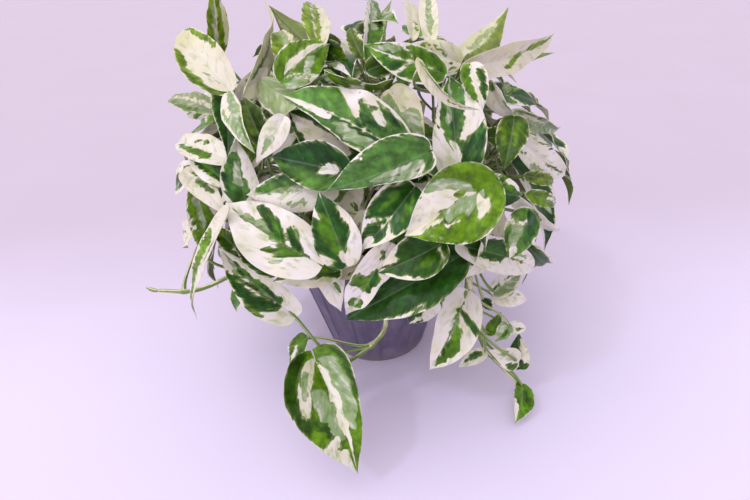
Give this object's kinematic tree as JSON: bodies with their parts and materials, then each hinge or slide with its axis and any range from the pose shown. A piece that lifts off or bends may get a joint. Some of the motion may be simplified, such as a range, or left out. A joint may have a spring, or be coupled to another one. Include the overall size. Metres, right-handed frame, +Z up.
{
  "type": "potted pothos",
  "caption": "Trailing houseplant with a dense mound of variegated heart-shaped leaves, growing in a tapered plastic nursery pot filled with potting mix.",
  "frame": {"origin": "centre of the pot's flat underside", "axes": "+Z up along the pot's axis, -Y towards the viewer of the picture (front), +X to the viewer's right"},
  "size_m": [0.2759, 0.2678, 0.2686],
  "materials": {
    "pot_plastic": "thin thermoformed dark violet-grey plastic, matte",
    "potting_mix": "damp near-black peat and bark mix, rough",
    "leaf": "waxy leaf, deep green with cream and grey-green marbling, satin gloss"
  },
  "bodies": {
    "root": {"pot": "pot_plastic", "soil": "potting_mix", "vine_crown_left": "leaf", "vine_shoulder_left": "leaf", "vine_left_runner": "leaf", "vine_front_left": "leaf", "vine_front": "leaf", "vine_front_right": "leaf", "vine_right_trailer": "leaf", "vine_front_low": "leaf", "vine_right": "leaf", "vine_crown_right": "leaf", "vine_crown_front_left": "leaf", "vine_crown_front_right": "leaf", "vine_heart": "leaf", "vine_back_left": "leaf", "vine_back": "leaf", "vine_back_right": "leaf", "vine_back_low_left": "leaf", "vine_back_low_right": "leaf", "vine_crown_back": "leaf"}
  },
  "joints": []
}
